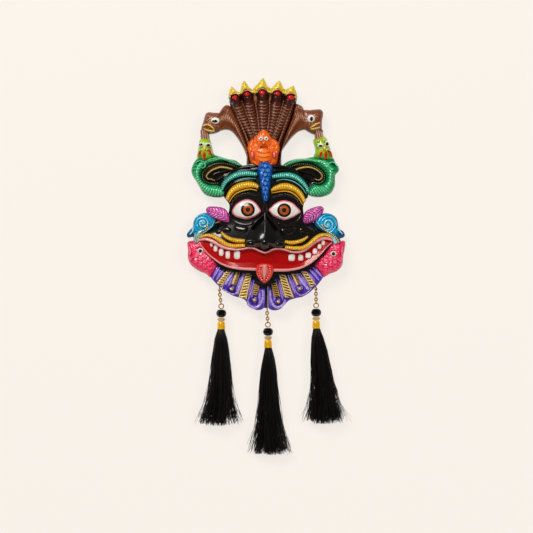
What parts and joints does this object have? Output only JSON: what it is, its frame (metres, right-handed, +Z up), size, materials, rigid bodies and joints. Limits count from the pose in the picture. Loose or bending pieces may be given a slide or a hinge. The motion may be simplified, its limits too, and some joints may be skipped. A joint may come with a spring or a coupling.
{
  "type": "kirtimukha wall hanging",
  "caption": "Moulded, painted kirtimukha face plaque with a snake crest, curling green arms and a fanned collar, for hanging on a wall, with silky tassels on short gold chains below.",
  "frame": {"origin": "The centre of the flat back, behind the small seated figure, on the wall plane.", "axes": "+Z up, +Y from the face through the flat back into the wall, +X to the right as seen from the front."},
  "size_m": [0.174, 0.0395, 0.4114],
  "materials": {
    "mask_enamel": "black gloss enamel with pearl colours over a moulded shell",
    "chain_gold": "gold-coloured plated wire",
    "black_glass": "faceted black glass bead",
    "champagne_glass": "champagne-coloured crystal with a metallic coat",
    "cap_gold": "polished gold-coloured cap",
    "black_thread": "black artificial silk threads"
  },
  "bodies": {
    "root": {"mask": "mask_enamel", "left_eyelet": "chain_gold", "left_link_1": "chain_gold", "left_link_2": "chain_gold", "left_link_3": "chain_gold", "left_link_4": "chain_gold", "left_link_5": "chain_gold", "left_ring": "chain_gold", "left_bead": "black_glass", "left_spacer": "champagne_glass", "left_cap": "cap_gold", "left_skirt": "black_thread", "centre_eyelet": "chain_gold", "centre_link_1": "chain_gold", "centre_link_2": "chain_gold", "centre_link_3": "chain_gold", "centre_link_4": "chain_gold", "centre_ring": "chain_gold", "centre_bead": "black_glass", "centre_spacer": "champagne_glass", "centre_cap": "cap_gold", "centre_skirt": "black_thread", "right_eyelet": "chain_gold", "right_link_1": "chain_gold", "right_link_2": "chain_gold", "right_link_3": "chain_gold", "right_link_4": "chain_gold", "right_link_5": "chain_gold", "right_ring": "chain_gold", "right_bead": "black_glass", "right_spacer": "champagne_glass", "right_cap": "cap_gold", "right_skirt": "black_thread"}
  },
  "joints": []
}
